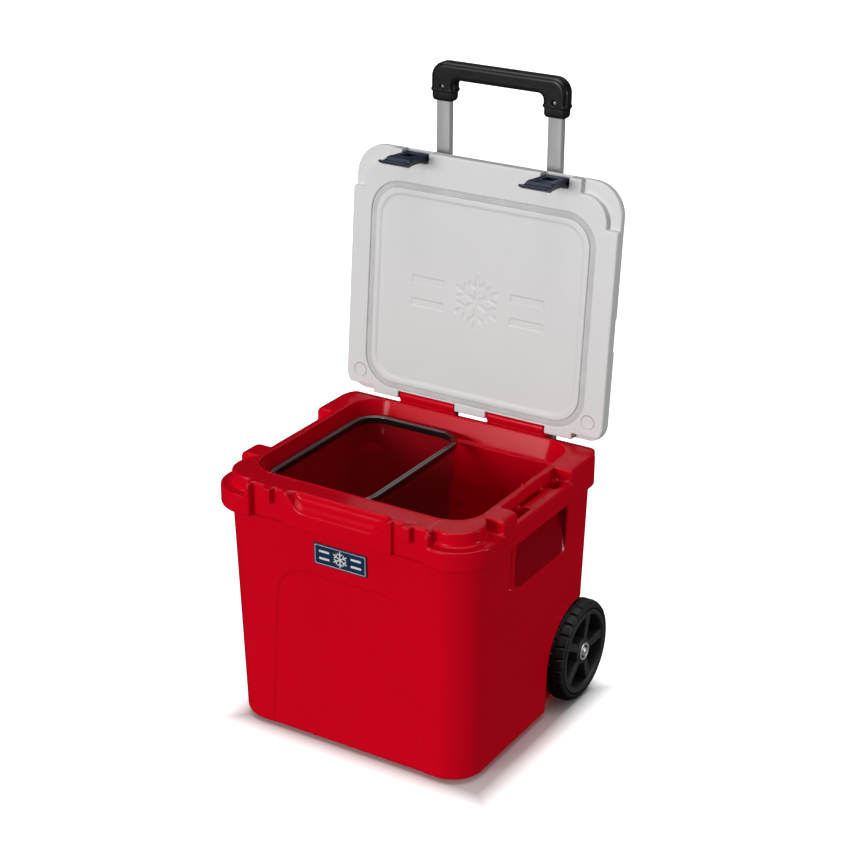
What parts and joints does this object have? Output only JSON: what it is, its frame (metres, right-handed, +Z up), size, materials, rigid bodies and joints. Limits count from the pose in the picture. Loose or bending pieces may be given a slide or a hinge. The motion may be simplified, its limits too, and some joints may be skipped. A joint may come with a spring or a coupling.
{
  "type": "wheeled cooler",
  "caption": "Hard insulated cooler on two wheels with a hinged latching lid, a two-stage telescopic pull handle and a lift-out basket.",
  "frame": {"origin": "on the ground, at the middle of the bounding box's base", "axes": "+X to the cooler's right as seen from the front, -Y to the front where the latches are, +Z up"},
  "size_m": [0.504, 0.518, 1.0491],
  "materials": {
    "tub_red": "semi-gloss rotomoulded polyethylene",
    "lid_white": "semi-gloss rotomoulded polyethylene",
    "foam": "poured rigid polyurethane foam",
    "badge_navy": "satin",
    "black_plastic": "moulded nylon",
    "housing_black": "fine texture",
    "grip_black": "satin moulded",
    "button_black": "smooth",
    "latch_navy": "satin, slightly rubbery",
    "gasket_grey": "matte",
    "foot_rubber": "matte",
    "tyre": "moulded tread",
    "wheel_black": "fine texture",
    "hub_steel": "bright",
    "steel": "zinc plated",
    "tube_aluminium": "satin anodised",
    "basket_smoke": "clear smoked polycarbonate",
    "basket_rim_smoke": "polished dark smoke"
  },
  "bodies": {
    "tub": {"tub_shell": "tub_red", "tub_foam": "foam", "tub_fill_plug": "black_plastic", "badge_plate": "badge_navy", "handle_housing": "housing_black", "front_foot_left": "foot_rubber", "hinge_pin_left": "steel", "axle_plate_left": "steel", "axle_stub_left": "steel", "axle_end_cap_left": "hub_steel", "fixed_tube_left": "tube_aluminium", "front_foot_right": "foot_rubber", "hinge_pin_right": "steel", "axle_plate_right": "steel", "axle_stub_right": "steel", "axle_end_cap_right": "hub_steel", "fixed_tube_right": "tube_aluminium"},
    "lid": {"lid_shell": "lid_white", "lid_foam": "foam", "lid_gasket": "gasket_grey", "lid_fill_plug_left": "lid_white", "latch_pin_left": "steel", "lid_fill_plug_right": "lid_white", "latch_pin_right": "steel"},
    "latch_left": {"latch_left": "latch_navy"},
    "latch_right": {"latch_right": "latch_navy"},
    "wheel_left": {"tyre_left": "tyre", "wheel_disc_left": "wheel_black", "wheel_bushing_left": "black_plastic", "hub_ring_left": "hub_steel"},
    "wheel_right": {"tyre_right": "tyre", "wheel_disc_right": "wheel_black", "wheel_bushing_right": "black_plastic", "hub_ring_right": "hub_steel"},
    "handle_middle": {"middle_tube_left": "tube_aluminium", "middle_collar_left": "grip_black", "middle_tube_right": "tube_aluminium", "middle_collar_right": "grip_black"},
    "handle": {"grip_front_shell": "grip_black", "grip_rear_shell": "grip_black", "upper_tube_left": "tube_aluminium", "grip_collar_left": "grip_black", "grip_screw_left": "steel", "upper_tube_right": "tube_aluminium", "grip_collar_right": "grip_black", "grip_screw_right": "steel"},
    "release": {"release_button": "button_black", "release_rod_left": "steel", "release_rod_right": "steel"},
    "lock_left": {"lock_pin_left": "steel"},
    "lock_right": {"lock_pin_right": "steel"},
    "basket": {"basket_bin": "basket_smoke", "basket_rim": "basket_rim_smoke"}
  },
  "joints": [
    {"name": "lid_hinge", "type": "hinge", "parent": "tub", "child": "lid", "pos_m": [0, 0.17, 0.47], "axis": [-1, 0, 0], "range_deg": [-94.57, 0]},
    {"name": "latch_left_swing", "type": "hinge", "parent": "lid", "child": "latch_left", "pos_m": [-0.132, 0.20163, 0.89082], "axis": [-1, 0, 0], "range_deg": [0, 75]},
    {"name": "latch_right_swing", "type": "hinge", "parent": "lid", "child": "latch_right", "pos_m": [0.132, 0.20163, 0.89082], "axis": [-1, 0, 0], "range_deg": [0, 75]},
    {"name": "wheel_left_spin", "type": "hinge", "parent": "tub", "child": "wheel_left", "pos_m": [-0.23, 0.1355, 0.09], "axis": [1, 0, 0], "continuous": true},
    {"name": "wheel_right_spin", "type": "hinge", "parent": "tub", "child": "wheel_right", "pos_m": [0.23, 0.1355, 0.09], "axis": [1, 0, 0], "continuous": true},
    {"name": "middle_stage_slide", "type": "slide", "parent": "tub", "child": "handle_middle", "axis": [0, 0, 1], "range_m": [-0.287, 0]},
    {"name": "handle_slide", "type": "slide", "parent": "handle_middle", "child": "handle", "axis": [0, 0, 1], "range_m": [-0.287, 0]},
    {"name": "release_press", "type": "slide", "parent": "handle", "child": "release", "axis": [0, 0, 1], "range_m": [-0.004, 0], "stiffness_N_per_m": 600, "springref_m": 0.004},
    {"name": "lock_left_slide", "type": "slide", "parent": "handle", "child": "lock_left", "axis": [-1, 0, 0], "range_m": [-0.004, 0]},
    {"name": "lock_right_slide", "type": "slide", "parent": "handle", "child": "lock_right", "axis": [1, 0, 0], "range_m": [-0.004, 0]},
    {"name": "basket_lift", "type": "slide", "parent": "tub", "child": "basket", "axis": [0, 0, 1], "range_m": [0, 0.3]}
  ],
  "couplings": [
    {"joint": "lock_left_slide", "follows": "release_press", "ratio": 1},
    {"joint": "lock_right_slide", "follows": "release_press", "ratio": 1}
  ]
}
